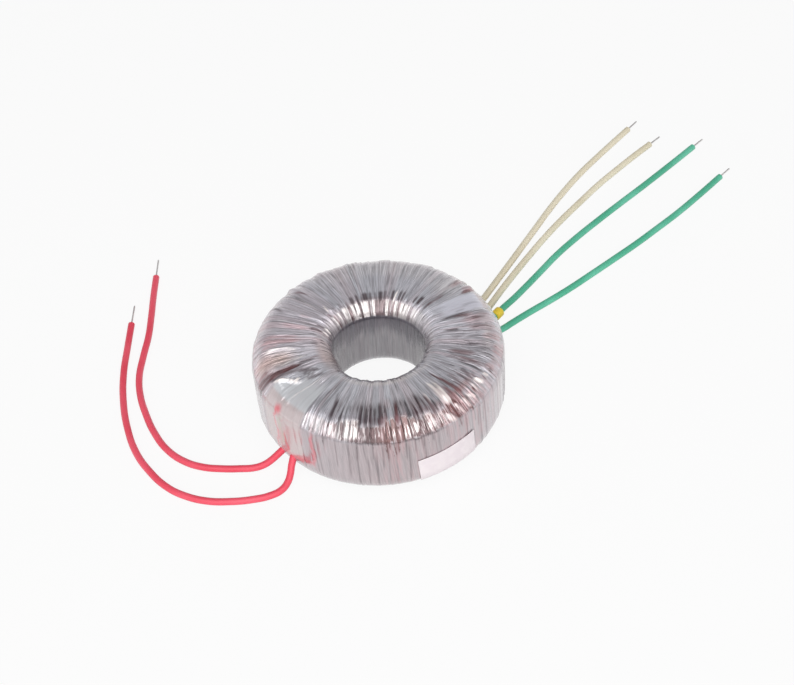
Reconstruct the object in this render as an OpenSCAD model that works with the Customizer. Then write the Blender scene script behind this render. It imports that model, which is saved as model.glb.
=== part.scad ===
// Toroidal mains transformer with film-wrapped windings and six flying leads.
// Z is the axis of the ring and the ring lies on z = 0.

/* [Wound ring] */
// Outer diameter over the wrapping film
outer_d = 80; // [70:1:110]
// Height over the wrapping film
body_h = 29; // [26:1:45]
// Diameter of the centre hole inside the wrapping film
hole_d = 30; // [20:1:36]
// Radius of the shoulder at the outer edge
outer_shoulder_r = 7.8; // [7:0.1:9]
// Radius of the shoulder at the edge of the hole
inner_shoulder_r = 6.2; // [5:0.1:7]

/* [Layers, outside in] */
// Wrapping film, all its turns together
film_t = 0.6; // [0.4:0.1:1]
// Each secondary winding on the outer wall
secondary_t = 1.2; // [1.2:0.1:1.6]
// Tape between the two secondary windings
tape_t = 0.3; // [0.2:0.1:0.5]
// Insulation between the primary and the secondaries
barrier_t = 0.4; // [0.3:0.1:0.8]
// Primary winding on the outer wall
primary_t = 1.1; // [0.8:0.1:1.4]
// Wall of the moulded caps on the core
cap_t = 1.0; // [0.9:0.1:1.2]
// How much deeper the wire lies on the flat faces than on the outer wall
face_pack = 1.2; // [1:0.05:1.4]
// How much deeper the wire lies in the hole than on the outer wall
hole_pack = 1.4; // [1:0.05:1.6]

/* [Lead-outs] */
// Diameter of a lead over its insulation
lead_d = 2.3; // [1.8:0.1:2.3]
// Height at which the leads turn out through the film
exit_z = 7; // [6.5:0.1:9]
// Angle below the horizontal at which the leads come out
exit_pitch = 35; // [25:1:40]
// Radius inside which the secondary turns close up across a lead-out gap
gap_floor_r = 23; // [20.5:0.5:25]
// Insulating strip under the leads and their joints
strip_t = 0.3; // [0.2:0.05:0.3]
// Diameter of the sleeve over a soldered joint
sleeve_d = 1.8; // [1.6:0.1:2]
// Length of the straight part of that sleeve
sleeve_len = 8; // [6:0.5:9]
// Diameter of a soldered joint and of a tinned lead end
wire_d = 0.9; // [0.6:0.1:1.1]

/* [Free ends] */
// Bare tinned length on the primary leads
primary_bare = 9; // [5:0.5:12]
// Bare tinned length on the secondary leads
secondary_bare = 6; // [4:0.5:12]
// Outer diameter of the marker sleeve
marker_d = 3.4; // [3:0.1:3.5]
// Length of the marker sleeve
marker_len = 4.4; // [3:0.2:5]

/* [Label] */
// Width of the label round the wall
label_w = 20.5; // [12:0.5:30]
// Height of the label
label_h = 10.5; // [6:0.5:11]
// Height of the label's centre
label_z = 9.6; // [8:0.2:16]
// Thickness of the label
label_t = 0.15; // [0.1:0.05:0.3]

/* [Hidden] */
$fn = 96;
lead_r = lead_d / 2;
slack = 0.1;
fillet_min = 1.5;
root_reach = 4.4;
// The ball at a lead's elbow stands a hair proud, so it never lies tangent to the bars it joins.
elbow_swell = 0.05;
label_az = 299;
label_tilt = 4.5;
marker_fit = 0.05;
cutter = 2 * outer_d;

// A section is [hole radius, outer radius, bottom, top, hole-side fillet, outer fillet].
function inset(s, wall, face, hole) = [
    s[0] + hole, s[1] - wall, s[2] + face, s[3] - face,
    max(s[4] - hole, fillet_min), max(s[5] - wall, fillet_min)
];
function film(s, t) = inset(s, t, t, t);
function copper(s, t) = inset(s, t, t * face_pack, t * hole_pack);

body = [hole_d / 2, outer_d / 2, 0, body_h, inner_shoulder_r, outer_shoulder_r];
in_film = film(body, film_t);
in_secondary_2 = copper(in_film, secondary_t);
in_tape = film(in_secondary_2, tape_t);
in_secondary_1 = copper(in_tape, secondary_t);
in_barrier = film(in_secondary_1, barrier_t);
in_primary = copper(in_barrier, primary_t);
in_caps = film(in_primary, cap_t);
over_strip = film(in_secondary_1, -strip_t);
over_label = film(body, -label_t);

// The leads follow the film's inner shoulder, from the top face down the outer wall.
path_r = in_film[5] - lead_r - slack;
path_x = in_film[1] - in_film[5];
path_z = in_film[3] - in_film[5];
run_r = path_x + path_r;

primary_gap = [204, 239];
secondary_gap = [23, 52];

// A lead is [colour, azimuth of its run, azimuth of its exit, heading of its exit, bare length, route].
red_1 = ["crimson", 216.5, 216.5, 201, primary_bare, [
    [-36, -24.7, 3.1], [-38.5, -25.3, 1.8], [-41.5, -25.7, 1.2], [-46, -25.6, 1.15], [-52, -25, 1.15],
    [-58, -23.7, 1.15], [-64, -20.7, 1.15], [-69.5, -15.5, 1.15], [-74, -8, 1.15], [-77.5, 1, 1.15],
    [-79.7, 9, 1.15], [-80.6, 17.5, 1.15], [-79.8, 27, 1.15], [-78.6, 36.5, 1.15], [-78.2, 46, 1.15],
    [-78, 56, 1.15], [-77.6, 66, 1.15]
]];
red_2 = ["crimson", 235, 222, 250, primary_bare, [
    [-30.1, -31.1, 3.1], [-31.1, -33.3, 1.9], [-33, -35.5, 1.25], [-36.5, -37.3, 1.15], [-42, -38.3, 1.15],
    [-49, -38.4, 1.15], [-56, -37.5, 1.15], [-63, -34.8, 1.15], [-69, -30.6, 1.15], [-75, -23.4, 1.15],
    [-79.5, -15.6, 1.15], [-83, -5, 1.15], [-85.2, 7, 1.15], [-86, 20, 1.15], [-85.5, 32, 1.15],
    [-84.9, 43, 1.15]
]];
ivory_1 = ["wheat", 45, 45, 55, secondary_bare, [
    [30.5, 32.1, 3.1], [32.2, 34.6, 1.9], [34.4, 37.8, 1.25], [38, 43, 1.15], [43, 50.6, 1.15],
    [48.5, 59, 1.15], [54, 67.5, 1.15], [59.5, 76, 1.15], [65.5, 85.3, 1.15], [72, 94.6, 1.15],
    [79.5, 104.3, 1.15], [87.5, 113.4, 1.15], [94.5, 121, 1.15], [101.5, 128.5, 1.15]
]];
ivory_2 = ["wheat", 40.5, 40.5, 50.5, secondary_bare, [
    [33, 29.6, 3.1], [34.8, 32, 1.9], [36.6, 34.5, 1.25], [39.2, 38.3, 1.15], [44, 45.6, 1.15],
    [49.5, 53.5, 1.15], [55.3, 61.5, 1.15], [61.5, 69.8, 1.15], [69, 79, 1.15], [77.5, 88.5, 1.15],
    [85.5, 97.2, 1.15], [93.5, 105, 1.15], [101, 112, 1.15], [108.2, 118.4, 1.15]
]];
green_1 = ["mediumseagreen", 36, 36, 46, secondary_bare, [
    [35, 26.7, 3.2], [37, 28.8, 2.3], [39.4, 31.3, 1.9], [43.4, 35.9, 1.75], [47.5, 40.5, 1.25],
    [52.5, 46.2, 1.15], [58.5, 53.2, 1.15], [65, 60.8, 1.15], [72.5, 68.4, 1.15], [81, 76.3, 1.15],
    [91, 85.2, 1.15], [102, 94.8, 1.15], [113, 104.7, 1.15], [124, 114.8, 1.15]
]];
green_2 = ["mediumseagreen", 31, 31, 36, secondary_bare, [
    [37.2, 22.9, 3.1], [39.4, 24.4, 1.9], [42, 26.3, 1.25], [46, 29.2, 1.15], [52, 33.3, 1.15],
    [59, 37.8, 1.15], [67, 43.2, 1.15], [75.5, 49.5, 1.15], [84.5, 56.3, 1.15], [93.5, 63.2, 1.15],
    [102, 70.2, 1.15], [111, 77.8, 1.15], [120.5, 86.6, 1.15], [130.5, 96.3, 1.15]
]];

function heading(az, pitch) = [cos(pitch) * cos(az), cos(pitch) * sin(az), -sin(pitch)];
function elbow(lead) = [run_r * cos(lead[2]), run_r * sin(lead[2]), exit_z];
function exit_point(lead) = elbow(lead) + root_reach * heading(lead[3], exit_pitch);
function route(lead) = concat([exit_point(lead)], lead[5]);
function last(list) = list[len(list) - 1];
function unit(v) = v / norm(v);

// Direction of a route at each of its points, square to the lead-out at its start.
function along(pts, first) = [
    for (i = [0 : len(pts) - 1])
        i == 0 ? first
        : i == len(pts) - 1 ? unit(pts[i] - pts[i - 1])
        : unit(unit(pts[i] - pts[i - 1]) + unit(pts[i + 1] - pts[i]))
];

// One section: a flat-sided ring profile with a fillet at each corner.
module section(s) {
    translate([s[0], s[2] + s[4]]) square([s[1] - s[5] - s[0], s[3] - s[2] - 2 * s[4]]);
    translate([s[0] + s[4], s[2]]) square([s[1] - s[5] - s[0] - s[4], s[3] - s[2]]);
    translate([s[0] + s[4], s[2] + s[5]]) square([s[1] - s[0] - s[4], s[3] - s[2] - 2 * s[5]]);
    for (z = [s[2] + s[4], s[3] - s[4]]) translate([s[0] + s[4], z]) circle(s[4]);
    for (z = [s[2] + s[5], s[3] - s[5]]) translate([s[1] - s[5], z]) circle(s[5]);
}

module ring(s) rotate_extrude() section(s);

module layer(outside, inside) difference() { ring(outside); ring(inside); }

module wedge(gap, floor_r) {
    rotate(gap[0]) rotate_extrude(angle = gap[1] - gap[0])
        translate([floor_r, -body_h]) square([outer_d, 3 * body_h]);
}

// A winding stays a whole ring in the hole and leaves both lead-out gaps free outside it.
module winding(outside, inside) {
    difference() {
        layer(outside, inside);
        for (gap = [primary_gap, secondary_gap]) wedge(gap, gap_floor_r);
    }
}

// Round bar that follows the film's upper shoulder between two angles.
module shoulder_bar(az, from, to, d) {
    rotate([90, 0, az]) translate([path_x, path_z]) rotate([0, 0, from])
        rotate_extrude(angle = to - from) translate([path_r, 0]) circle(d = d);
}

module top_bar(az, start, length, d) {
    rotate(az) translate([path_x - start, 0, path_z + path_r]) rotate([0, -90, 0])
        cylinder(h = length, d = d);
}

// The part of a lead that turns out through the film.
module lead_exit(lead) {
    translate(elbow(lead)) {
        sphere(lead_r + elbow_swell);
        rotate([0, 90 + exit_pitch, lead[3]]) cylinder(h = root_reach, r = lead_r);
    }
}

module core() { color("slategray") rotate_extrude()
    translate([in_caps[0], in_caps[2]]) square([in_caps[1] - in_caps[0], in_caps[3] - in_caps[2]]);
}

// One of the two moulded caps, which meet halfway up the core.
module core_cap(upper) {
    color("white") difference() {
        intersection() {
            ring(in_primary);
            translate([-outer_d, -outer_d, upper ? body_h / 2 : body_h / 2 - cutter])
                cube([cutter, cutter, cutter]);
        }
        core();
    }
}

module primary_winding() { color("chocolate") layer(in_barrier, in_primary); }
module barrier() { color("gold") layer(in_secondary_1, in_barrier); }
module secondary_1_winding() { color("peru") winding(in_tape, in_secondary_1); }
module secondary_tape() { color("khaki") winding(in_secondary_2, in_tape); }
module secondary_2_winding() { color("sienna") winding(in_film, in_secondary_2); }

// Strip between the barrier and the leads, from the gap's floor over the top and down the wall.
module lead_strip(gap) {
    color("ivory") intersection() {
        layer(over_strip, in_secondary_1);
        wedge(gap, gap_floor_r + slack);
        translate([-outer_d, -outer_d, exit_z + lead_d]) cube([cutter, cutter, body_h]);
    }
}

// Sleeve over a soldered joint, flat on the top face where the lead ends.
module joint_sleeve(lead) {
    color("gainsboro") difference() {
        top_bar(lead[1], 0, sleeve_len, sleeve_d);
        top_bar(lead[1], -sleeve_len, 3 * sleeve_len, wire_d);
    }
}

// Soldered joint and the end of the winding's own wire, from the lead to the gap's floor.
module joint(lead) { color("silver") top_bar(lead[1], 0, path_x - gap_floor_r, wire_d); }

// The part of a lead that the film holds down.
module lead_root(lead) {
    color(lead[0]) {
        shoulder_bar(lead[1], 0, 90, lead_d);
        rotate(lead[1]) translate([run_r, 0, exit_z]) {
            cylinder(h = path_z - exit_z, r = lead_r);
            sphere(lead_r + elbow_swell);
        }
        if (lead[1] != lead[2])
            rotate(lead[2]) rotate_extrude(angle = lead[1] - lead[2])
                translate([run_r, exit_z]) circle(lead_r);
        lead_exit(lead);
    }
}

module outer_wrap() {
    color("thistle") difference() {
        layer(body, in_film);
        for (lead = [red_1, red_2, ivory_1, ivory_2, green_1, green_2]) lead_exit(lead);
    }
}

// Eight-sided tube swept through a route's points.
module lead_tube(lead) {
    pts = route(lead);
    ways = along(pts, heading(lead[3], exit_pitch));
    sides = 8;
    rings = [
        for (i = [0 : len(pts) - 1])
            let (across = unit(cross(ways[i], [0, 0, 1])), up = cross(across, ways[i]))
                for (k = [0 : sides - 1])
                    pts[i] + lead_r * (cos(360 * k / sides) * across + sin(360 * k / sides) * up)
    ];
    walls = [
        for (i = [0 : len(pts) - 2], k = [0 : sides - 1])
            [i * sides + k, i * sides + (k + 1) % sides,
             (i + 1) * sides + (k + 1) % sides, (i + 1) * sides + k]
    ];
    ends = [
        [for (k = [sides - 1 : -1 : 0]) k],
        [for (k = [0 : sides - 1]) (len(pts) - 1) * sides + k]
    ];
    color(lead[0]) polyhedron(rings, concat(walls, ends), convexity = 6);
}

// Puts a bar that was drawn along +Z at a point, along a direction.
module aim(at, way) {
    translate(at) rotate([0, acos(way[2]), atan2(way[1], way[0])]) children();
}

module tinned_end(lead) {
    pts = route(lead);
    color("silver") aim(last(pts), unit(last(pts) - pts[len(pts) - 2]))
        cylinder(h = lead[4], d = wire_d);
}

// Marker sleeve on the straight stretch between two points of the first green lead.
module marker_sleeve() {
    a = green_1[5][2];
    b = green_1[5][3];
    color("gold") aim((a + b) / 2, unit(b - a)) difference() {
        cylinder(h = marker_len, d = marker_d, center = true);
        cylinder(h = 2 * marker_len, r = lead_r + marker_fit, center = true);
    }
}

module label() {
    color("white") intersection() {
        layer(over_label, body);
        rotate(label_az) translate([outer_d / 2, 0, label_z]) rotate([label_tilt, 0, 0])
            cube([outer_shoulder_r, label_w, label_h], center = true);
    }
}

core();
core_cap(true);  // upper_core_cap
core_cap(false);  // lower_core_cap
primary_winding();
barrier();
secondary_1_winding();
secondary_tape();
secondary_2_winding();
lead_strip(primary_gap);  // primary_lead_strip
lead_strip(secondary_gap);  // secondary_lead_strip
outer_wrap();
label();
joint(red_1);  // red_1_joint
joint(red_2);  // red_2_joint
joint(ivory_1);  // ivory_1_joint
joint(ivory_2);  // ivory_2_joint
joint(green_1);  // green_1_joint
joint(green_2);  // green_2_joint
joint_sleeve(red_1);  // red_1_sleeve
joint_sleeve(red_2);  // red_2_sleeve
joint_sleeve(ivory_1);  // ivory_1_sleeve
joint_sleeve(ivory_2);  // ivory_2_sleeve
joint_sleeve(green_1);  // green_1_sleeve
joint_sleeve(green_2);  // green_2_sleeve
lead_root(red_1);  // red_1_root
lead_root(red_2);  // red_2_root
lead_root(ivory_1);  // ivory_1_root
lead_root(ivory_2);  // ivory_2_root
lead_root(green_1);  // green_1_root
lead_root(green_2);  // green_2_root
lead_tube(red_1);  // red_1_lead
lead_tube(red_2);  // red_2_lead
lead_tube(ivory_1);  // ivory_1_lead
lead_tube(ivory_2);  // ivory_2_lead
lead_tube(green_1);  // green_1_lead
lead_tube(green_2);  // green_2_lead
tinned_end(red_1);  // red_1_end
tinned_end(red_2);  // red_2_end
tinned_end(ivory_1);  // ivory_1_end
tinned_end(ivory_2);  // ivory_2_end
tinned_end(green_1);  // green_1_end
tinned_end(green_2);  // green_2_end
marker_sleeve();
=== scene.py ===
import math
import random
from bisect import bisect_right
from types import SimpleNamespace

import bmesh
import bpy
from mathutils import Matrix, Vector


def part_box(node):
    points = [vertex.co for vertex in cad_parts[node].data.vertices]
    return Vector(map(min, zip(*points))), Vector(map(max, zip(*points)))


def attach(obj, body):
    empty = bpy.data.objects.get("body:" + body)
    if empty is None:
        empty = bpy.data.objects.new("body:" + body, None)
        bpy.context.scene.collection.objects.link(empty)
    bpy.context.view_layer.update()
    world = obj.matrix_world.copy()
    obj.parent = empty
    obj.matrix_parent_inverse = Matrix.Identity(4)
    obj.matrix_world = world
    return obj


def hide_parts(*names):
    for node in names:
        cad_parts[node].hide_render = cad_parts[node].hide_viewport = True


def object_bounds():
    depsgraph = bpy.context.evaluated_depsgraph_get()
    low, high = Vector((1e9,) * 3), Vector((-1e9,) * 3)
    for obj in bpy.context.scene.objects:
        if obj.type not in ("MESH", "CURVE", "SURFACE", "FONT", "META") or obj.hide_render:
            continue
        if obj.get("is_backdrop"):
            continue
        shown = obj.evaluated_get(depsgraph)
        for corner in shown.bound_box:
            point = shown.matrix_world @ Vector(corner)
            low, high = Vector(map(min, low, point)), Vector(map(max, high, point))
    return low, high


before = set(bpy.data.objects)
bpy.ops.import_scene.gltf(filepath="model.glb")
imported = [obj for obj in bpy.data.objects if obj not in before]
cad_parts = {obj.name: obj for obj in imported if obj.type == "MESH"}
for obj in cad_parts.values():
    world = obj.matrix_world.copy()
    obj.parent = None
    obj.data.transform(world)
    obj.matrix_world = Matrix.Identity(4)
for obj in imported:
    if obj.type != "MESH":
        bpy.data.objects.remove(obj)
cad_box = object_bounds()
scene = bpy.context.scene
MM = 0.001

# ---------- camera
# A fixed lens looks down at the ring from the side that carries the label.
LOOK_DOWN, ROLL = math.radians(45.84), math.radians(-4.55)
camera_data = bpy.data.cameras.new("camera")
camera_data.sensor_width = 36.0
camera_data.lens = 68.0
camera = bpy.data.objects.new("camera", camera_data)
camera.location = Vector((6.2, -328.4, 364.1)) * MM
camera.rotation_euler = (Matrix.Rotation(math.pi / 2 - LOOK_DOWN, 4, "X")
                         @ Matrix.Rotation(ROLL, 4, "Z")).to_euler()
scene.collection.objects.link(camera)
scene.camera = camera
scene.view_settings.view_transform = "Standard"


# ---------- core
# Grain-oriented silicon steel, 0.3 mm strip wound up like a clock spring and annealed.
# Only the strip's edges show, as fine rings on a blue-grey face.
def srgb(hex_value):
    """A colour given as sRGB hex, turned linear, with full alpha."""
    parts = [int(hex_value[i:i + 2], 16) / 255 for i in (1, 3, 5)]
    return [c / 12.92 if c <= 0.04045 else ((c + 0.055) / 1.055) ** 2.4 for c in parts] + [1.0]


def node(tree, kind, inputs=None, out=None, **settings):
    """Adds a shader node with its settings, and feeds its inputs, by name or number, with
    values or with other nodes' sockets. Gives back the node, or the output that is asked for."""
    new = tree.nodes.new("ShaderNode" + kind)
    for name, value in settings.items():
        setattr(new, name, value)
    for name, value in (inputs or {}).items():
        if isinstance(value, bpy.types.NodeSocket):
            tree.links.new(value, new.inputs[name])
        else:
            new.inputs[name].default_value = value
    return new if out is None else new.outputs[out]


def new_material(name):
    """An empty node material, its tree, and object coordinates in metres."""
    material = bpy.data.materials.new(name)
    material.use_nodes = True
    tree = material.node_tree
    tree.nodes.clear()
    return material, tree, node(tree, "TexCoord", out="Object")


def surface(tree, colour, roughness, height, depth, **constants):
    """Closes a material: one Principled shader, over a bump whose depth is in metres."""
    bump = node(tree, "Bump", {"Height": height, "Distance": depth}, "Normal")
    inputs = {"Base Color": colour, "Roughness": roughness, "Normal": bump}
    for key, value in constants.items():
        inputs[key.replace("_", " ").title().replace("Ior", "IOR")] = value
    node(tree, "OutputMaterial", {"Surface": node(tree, "BsdfPrincipled", inputs, 0)})


def two_tone(name, shade, light, patch_mm, grain_mm, depth_mm, roughness, **constants):
    """A material of two close tones in soft patches, with a fine grain that it can be felt by."""
    material, tree, at = new_material(name)
    patches = node(tree, "TexNoise", {"Vector": at, "Scale": 1 / (patch_mm * MM)}, "Fac")
    share = node(tree, "MapRange", {0: patches, 1: 0.35, 2: 0.65}, 0,
                 interpolation_type="SMOOTHSTEP")
    colour = node(tree, "Mix", {0: share, 6: srgb(shade), 7: srgb(light)}, 2, data_type="RGBA")
    grain = node(tree, "TexNoise", {"Vector": at, "Scale": 1 / (grain_mm * MM), "Detail": 3.0}, "Fac")
    surface(tree, colour, roughness, grain, depth_mm * MM, **constants)
    return material


def finish_nodes(material, *names):
    """Gives CAD nodes a material in place of their plain one."""
    for name in names:
        for material_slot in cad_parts[name].material_slots:
            material_slot.material = material


STRIP_T = 0.3
steel, tree, at = new_material("annealed_silicon_steel")
flat_spot = node(tree, "VectorMath", {0: at, 1: (1, 1, 0)}, 0, operation="MULTIPLY")
from_axis = node(tree, "VectorMath", {0: flat_spot}, "Value", operation="LENGTH")
wraps = node(tree, "Math", {0: from_axis, 1: STRIP_T * MM}, 0, operation="DIVIDE")
rings = node(tree, "Math", {0: wraps, 1: 0.5}, 0, operation="PINGPONG")
tint = node(tree, "TexNoise", {"Vector": at, "Scale": 120.0}, "Fac")
colour = node(tree, "Mix", {0: tint, 6: srgb("#74797f"), 7: srgb("#8b9096")}, 2, data_type="RGBA")
surface(tree, colour, 0.38, rings, 0.05 * MM, metallic=0.9)
finish_nodes(steel, "core")

# ---------- core caps
# Two glass-filled nylon caps, injection moulded, pushed over the core from either side so
# that the winding wire never bears on the strip's edges. Natural off-white, faintly matt.
nylon = two_tone("moulded_nylon", "#e6e2d6", "#efece2", 11, 0.55, 0.03, 0.5, ior=1.53)
finish_nodes(nylon, "upper_core_cap", "lower_core_cap")

# ---------- windings
# Enamelled copper wire, wound on by shuttle, turn beside turn through the hole. The enamel
# is clear amber, so the copper shows red-brown, in ridges one wire apart.
WIRE_PITCH_DEG = 0.9
copper_wire, tree, at = new_material("enamelled_copper_wire")
parts = node(tree, "SeparateXYZ", {0: at})
turned = node(tree, "Math", {0: parts.outputs[1], 1: parts.outputs[0]}, 0, operation="ARCTAN2")
wires = node(tree, "Math", {0: turned, 1: math.radians(WIRE_PITCH_DEG)}, 0, operation="DIVIDE")
ridges = node(tree, "Math", {0: wires, 1: 0.5}, 0, operation="PINGPONG")
tint = node(tree, "TexNoise", {"Vector": at, "Scale": 300.0, "Detail": 3.0}, "Fac")
colour = node(tree, "Mix", {0: tint, 6: srgb("#8c4a33"), 7: srgb("#b26a48")}, 2, data_type="RGBA")
surface(tree, colour, 0.28, ridges, 0.2 * MM, metallic=0.85, coat_weight=0.6, coat_roughness=0.08)
finish_nodes(copper_wire, "primary_winding", "secondary_1_winding", "secondary_2_winding")

# ---------- barrier and tape
# Polyester film tape between the windings, wound through the hole in overlapping turns.
# It is amber and glossy, a little cloudy where air is caught under it.
amber_film = two_tone("amber_polyester_tape", "#c9a24a", "#d9b866", 4, 1.4, 0.06, 0.22, ior=1.6)
finish_nodes(amber_film, "barrier", "secondary_tape")

# ---------- strips under the leads
# Pressboard, 0.3 mm, cut with scissors and laid under the leads and their joints. It is
# calendered wood fibre: buff, matt, with a fine grain.
board = two_tone("calendered_pressboard", "#c8b48c", "#dccba6", 1.1, 0.5, 0.04, 0.75, ior=1.45)
finish_nodes(board, "primary_lead_strip", "secondary_lead_strip")

# ---------- soldered joints
# Each winding's wire is twisted to its lead and soldered, and a clear-white sleeve is
# pushed over the joint. The solder is dull silver with small ripples.
LEAD_NAMES = ("red_1", "red_2", "ivory_1", "ivory_2", "green_1", "green_2")
tinned = two_tone("tinned_copper", "#d0cbcb", "#e6e3e2", 2, 0.65, 0.03, 0.4, metallic=0.7)
finish_nodes(tinned, *(lead + "_joint" for lead in LEAD_NAMES))
joint_tube = two_tone("extruded_joint_sleeve", "#dfe0dc", "#eceded", 2.5, 0.4, 0.02, 0.42, ior=1.5)
finish_nodes(joint_tube, *(lead + "_sleeve" for lead in LEAD_NAMES))

# ---------- leads
# Six hook-up wires, 2.3 mm over their PVC, come out low through the film and lie on the
# table. The PVC is extruded and coloured through, with a soft sheen and a faint grain.
PVC = {"red": ("#e8475c", "#f0596d"), "ivory": ("#e3d9bf", "#ede4cc"), "green": ("#50b492", "#66c4a5")}
pvc = {}
for colour, (shade, light) in PVC.items():
    pvc[colour] = two_tone("extruded_pvc_" + colour, shade, light, 17, 1.2, 0.004, 0.4, ior=1.53)
    finish_nodes(pvc[colour], *(lead + "_root" for lead in LEAD_NAMES if lead.startswith(colour)))

LEAD_D = 2.3 * MM
# A lead slopes out from RUN_R from the axis and EXIT_Z up, and is free after ROOT_REACH.
RUN_R, EXIT_Z, ROOT_REACH, EXIT_PITCH = 38.15, 7.0, 4.4, math.radians(35)
# Azimuth of the exit, heading there, and the route in mm. A point with no height of its
# own lies on the table.
LYING_Z = 1.15
LEADS = {
    "red_1": (216.5, 201, [
        (-36, -24.7, 3.1), (-38.5, -25.3, 1.8), (-41.5, -25.7, 1.2), (-46, -25.6), (-52, -25), (-58, -23.7),
        (-64, -20.7), (-69.5, -15.5), (-74, -8), (-77.5, 1), (-79.7, 9), (-80.6, 17.5), (-79.8, 27),
        (-78.6, 36.5), (-78.2, 46), (-78, 56), (-77.6, 66)]),
    "red_2": (222, 250, [
        (-30.1, -31.1, 3.1), (-31.1, -33.3, 1.9), (-33, -35.5, 1.25), (-36.5, -37.3), (-42, -38.3),
        (-49, -38.4), (-56, -37.5), (-63, -34.8), (-69, -30.6), (-75, -23.4), (-79.5, -15.6), (-83, -5),
        (-85.2, 7), (-86, 20), (-85.5, 32), (-84.9, 43)]),
    "ivory_1": (45, 55, [
        (30.5, 32.1, 3.1), (32.2, 34.6, 1.9), (34.4, 37.8, 1.25), (38, 43), (43, 50.6), (48.5, 59),
        (54, 67.5), (59.5, 76), (65.5, 85.3), (72, 94.6), (79.5, 104.3), (87.5, 113.4), (94.5, 121),
        (101.5, 128.5)]),
    "ivory_2": (40.5, 50.5, [
        (33, 29.6, 3.1), (34.8, 32, 1.9), (36.6, 34.5, 1.25), (39.2, 38.3), (44, 45.6), (49.5, 53.5),
        (55.3, 61.5), (61.5, 69.8), (69, 79), (77.5, 88.5), (85.5, 97.2), (93.5, 105), (101, 112),
        (108.2, 118.4)]),
    "green_1": (36, 46, [
        (35, 26.7, 3.2), (37, 28.8, 2.3), (39.4, 31.3, 1.9), (43.4, 35.9, 1.75), (47.5, 40.5, 1.25),
        (52.5, 46.2), (58.5, 53.2), (65, 60.8), (72.5, 68.4), (81, 76.3), (91, 85.2), (102, 94.8),
        (113, 104.7), (124, 114.8)]),
    "green_2": (31, 36, [
        (37.2, 22.9, 3.1), (39.4, 24.4, 1.9), (42, 26.3, 1.25), (46, 29.2), (52, 33.3), (59, 37.8),
        (67, 43.2), (75.5, 49.5), (84.5, 56.3), (93.5, 63.2), (102, 70.2), (111, 77.8), (120.5, 86.6),
        (130.5, 96.3)]),
}
routes = {}
for lead, (azimuth, heading, points) in LEADS.items():
    a, h = math.radians(azimuth), math.radians(heading)
    level, drop = ROOT_REACH * math.cos(EXIT_PITCH), ROOT_REACH * math.sin(EXIT_PITCH)
    start = (RUN_R * math.cos(a) + level * math.cos(h), RUN_R * math.sin(a) + level * math.sin(h),
             EXIT_Z - drop)
    routes[lead] = [Vector(p if len(p) == 3 else (*p, LYING_Z)) * MM for p in [start] + points]
    colour = lead.split("_")[0]
    wire_data = bpy.data.curves.new(lead + "_wire", "CURVE")
    wire_data.dimensions = "3D"
    spline = wire_data.splines.new("BEZIER")
    spline.bezier_points.add(len(points))
    for spot, point in zip(spline.bezier_points, routes[lead]):
        spot.co = point
        spot.handle_left_type = spot.handle_right_type = "AUTO"
    wire_data.bevel_depth = LEAD_D / 2
    wire_data.bevel_resolution = 5
    wire_data.resolution_u = 8
    wire_data.use_fill_caps = True
    wire_data.materials.append(pvc[colour])
    wire = bpy.data.objects.new(lead + "_wire", wire_data)
    scene.collection.objects.link(wire)
    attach(wire, "root")
    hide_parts(lead + "_lead")
    LEADS[lead] = (wire, [])

# ---------- tinned lead ends
# The strands are stripped, twisted by hand and dipped in solder, which leaves a fluted
# silver rod 0.6 mm thick with a rounded tip.
def put_along(mesh, seat, way, shift):
    """Moves a bmesh drawn in mm up the Z axis to a seat in metres, so that it points along
    way, and shift mm further on."""
    way = way.normalized()
    turned = way.to_track_quat("Z", "Y").to_matrix().to_4x4()
    bmesh.ops.scale(mesh, vec=(MM, MM, MM), verts=mesh.verts)
    bmesh.ops.transform(mesh, matrix=Matrix.Translation(seat + way * shift * MM) @ turned, verts=mesh.verts)


def piece(name, mesh, material, slot, *replaced):
    """Turns a bmesh drawn in metres into a smooth-shaded piece of the object."""
    data = bpy.data.meshes.new(name)
    mesh.to_mesh(data)
    mesh.free()
    for polygon in data.polygons:
        polygon.use_smooth = True
    data.materials.append(material)
    made = bpy.data.objects.new(name, data)
    scene.collection.objects.link(made)
    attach(made, "root")
    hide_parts(*replaced)
    return made


STRANDS, ROD_R, TWIST_MM, TIP_MM, HIDDEN_MM = 7, 0.3, 7.0, 0.5, 1.0
BARE = {"red": 9.0, "ivory": 6.0, "green": 6.0}
for lead, (wire, carried) in LEADS.items():
    length = BARE[lead.split("_")[0]] + HIDDEN_MM
    rod = bmesh.new()
    bmesh.ops.create_circle(rod, cap_ends=False, segments=STRANDS * 5, radius=ROD_R)
    for vertex in rod.verts:
        lobe = math.cos(STRANDS * math.atan2(vertex.co.y, vertex.co.x))
        vertex.co *= 0.93 + 0.07 * lobe
    bmesh.ops.spin(rod, geom=rod.verts[:] + rod.edges[:], cent=(0, 0, 0), axis=(0, 0, 1),
                   dvec=(0, 0, length / 24), angle=2 * math.pi * length / TWIST_MM, steps=24)
    for vertex in rod.verts:
        tip = max(vertex.co.z - (length - TIP_MM), 0) / TIP_MM
        vertex.co.x *= 1 - 0.35 * tip ** 2
        vertex.co.y *= 1 - 0.35 * tip ** 2
    for at_foot in (True, False):
        rim = [e for e in rod.edges if e.is_boundary and (e.verts[0].co.z < 0.01) == at_foot]
        bmesh.ops.contextual_create(rod, geom=rim)
    bmesh.ops.recalc_face_normals(rod, faces=rod.faces[:])
    before, end = routes[lead][-2:]
    put_along(rod, end, end - before, -HIDDEN_MM)
    carried.append(piece(lead + "_strands", rod, tinned, "tinned_copper", lead + "_end"))

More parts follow.
